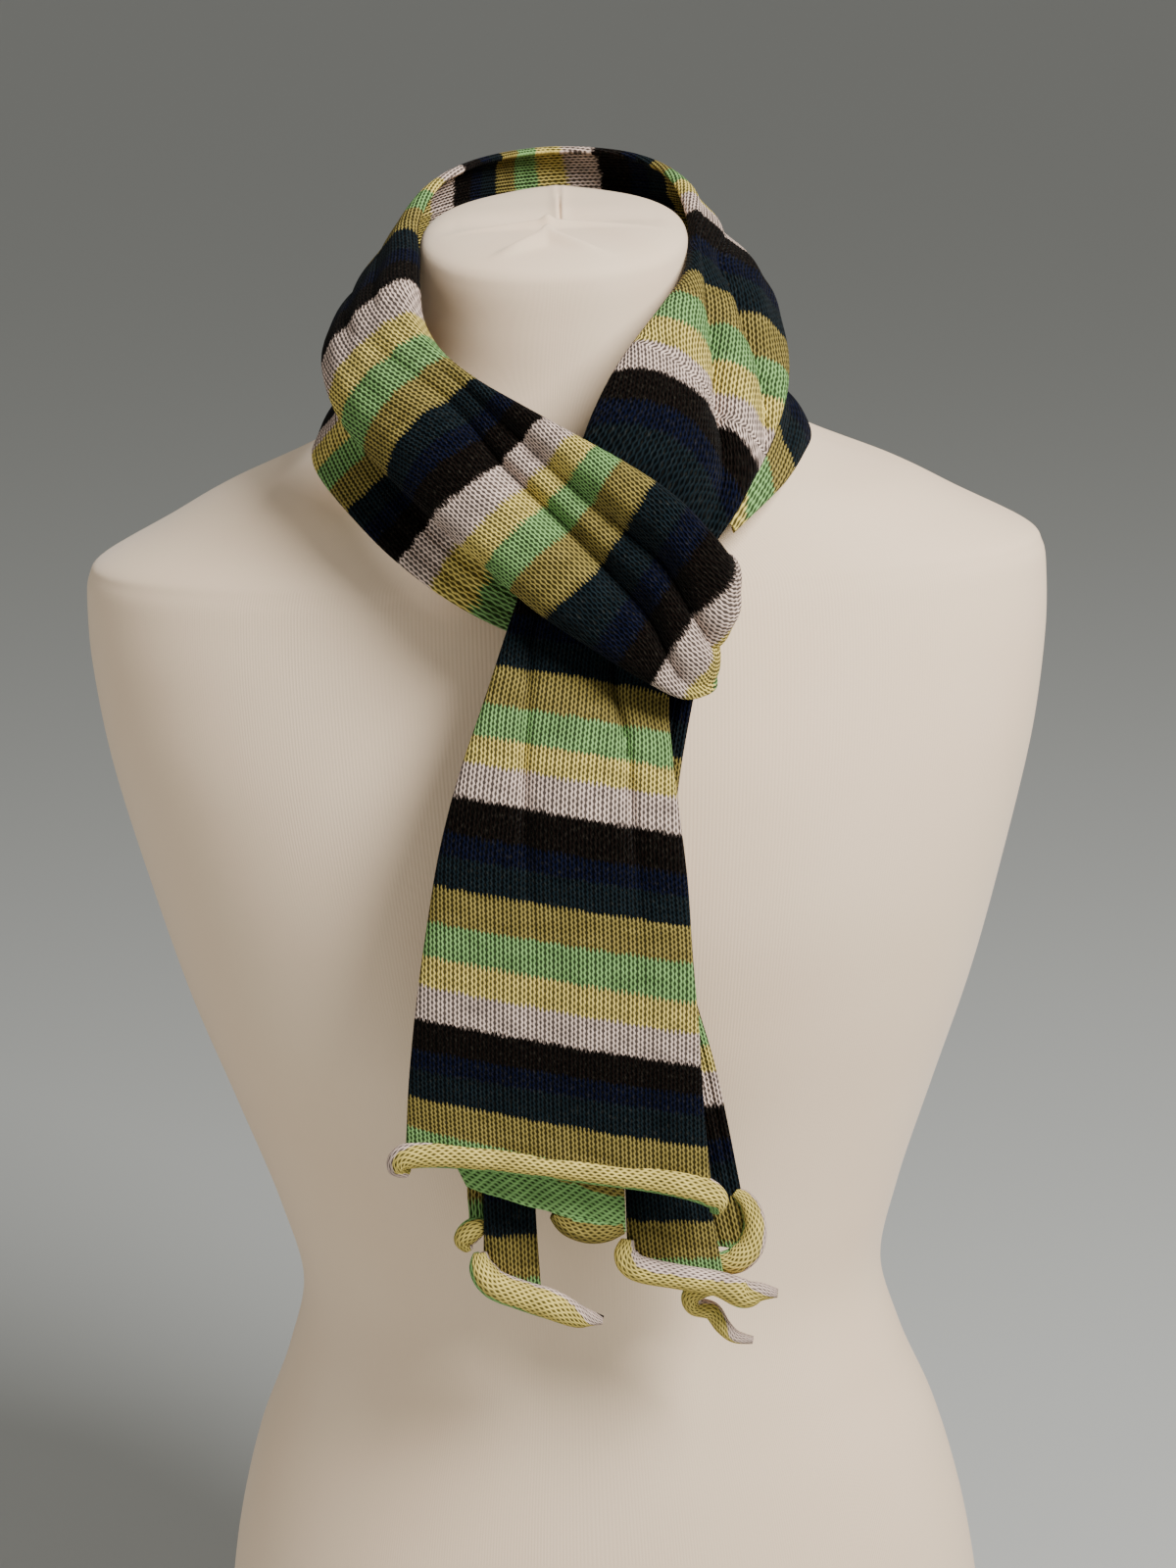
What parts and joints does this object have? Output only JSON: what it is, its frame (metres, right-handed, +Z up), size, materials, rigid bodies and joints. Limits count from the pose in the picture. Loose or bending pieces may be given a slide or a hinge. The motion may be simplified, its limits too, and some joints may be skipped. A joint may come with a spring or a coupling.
{
  "type": "knitted scarf on a dress form",
  "caption": "Long fine-knit striped scarf with rolled hems, wound round the neck of a limbless dress form, crossed at the front, its ends hanging over the chest.",
  "frame": {"origin": "centre of the dress form's flat base, under its waist", "axes": "+Z up the form, -Y the way the chest faces, +X to the wearer's left"},
  "size_m": [0.384, 0.2732, 0.7188],
  "materials": {
    "form_jersey": "fine ribbed jersey, matte",
    "scarf_knit": "fine stockinette alpaca knit in stripes, soft nap",
    "scarf_hem": "rolled purl side of the same knit"
  },
  "bodies": {
    "root": {"dress_form": "form_jersey", "scarf_crossing_band": "scarf_knit", "scarf_right_shoulder": "scarf_knit", "scarf_back_neck": "scarf_knit", "scarf_left_shoulder": "scarf_knit", "scarf_front_tail": "scarf_knit", "scarf_lower_fold_right": "scarf_knit", "scarf_lower_fold_back": "scarf_knit", "scarf_lower_fold_left": "scarf_knit", "scarf_tail_back_layer": "scarf_knit", "scarf_rear_pleat_left": "scarf_knit", "scarf_rear_pleat_middle": "scarf_knit", "scarf_rear_pleat_right": "scarf_knit", "scarf_rear_pleat_far": "scarf_knit", "scarf_front_roll": "scarf_hem", "scarf_back_layer_roll": "scarf_hem", "scarf_rear_roll_left": "scarf_hem", "scarf_rear_roll_middle": "scarf_hem", "scarf_rear_roll_right": "scarf_hem", "scarf_rear_roll_far": "scarf_hem", "scarf_hanging_tip": "scarf_hem"}
  },
  "joints": []
}
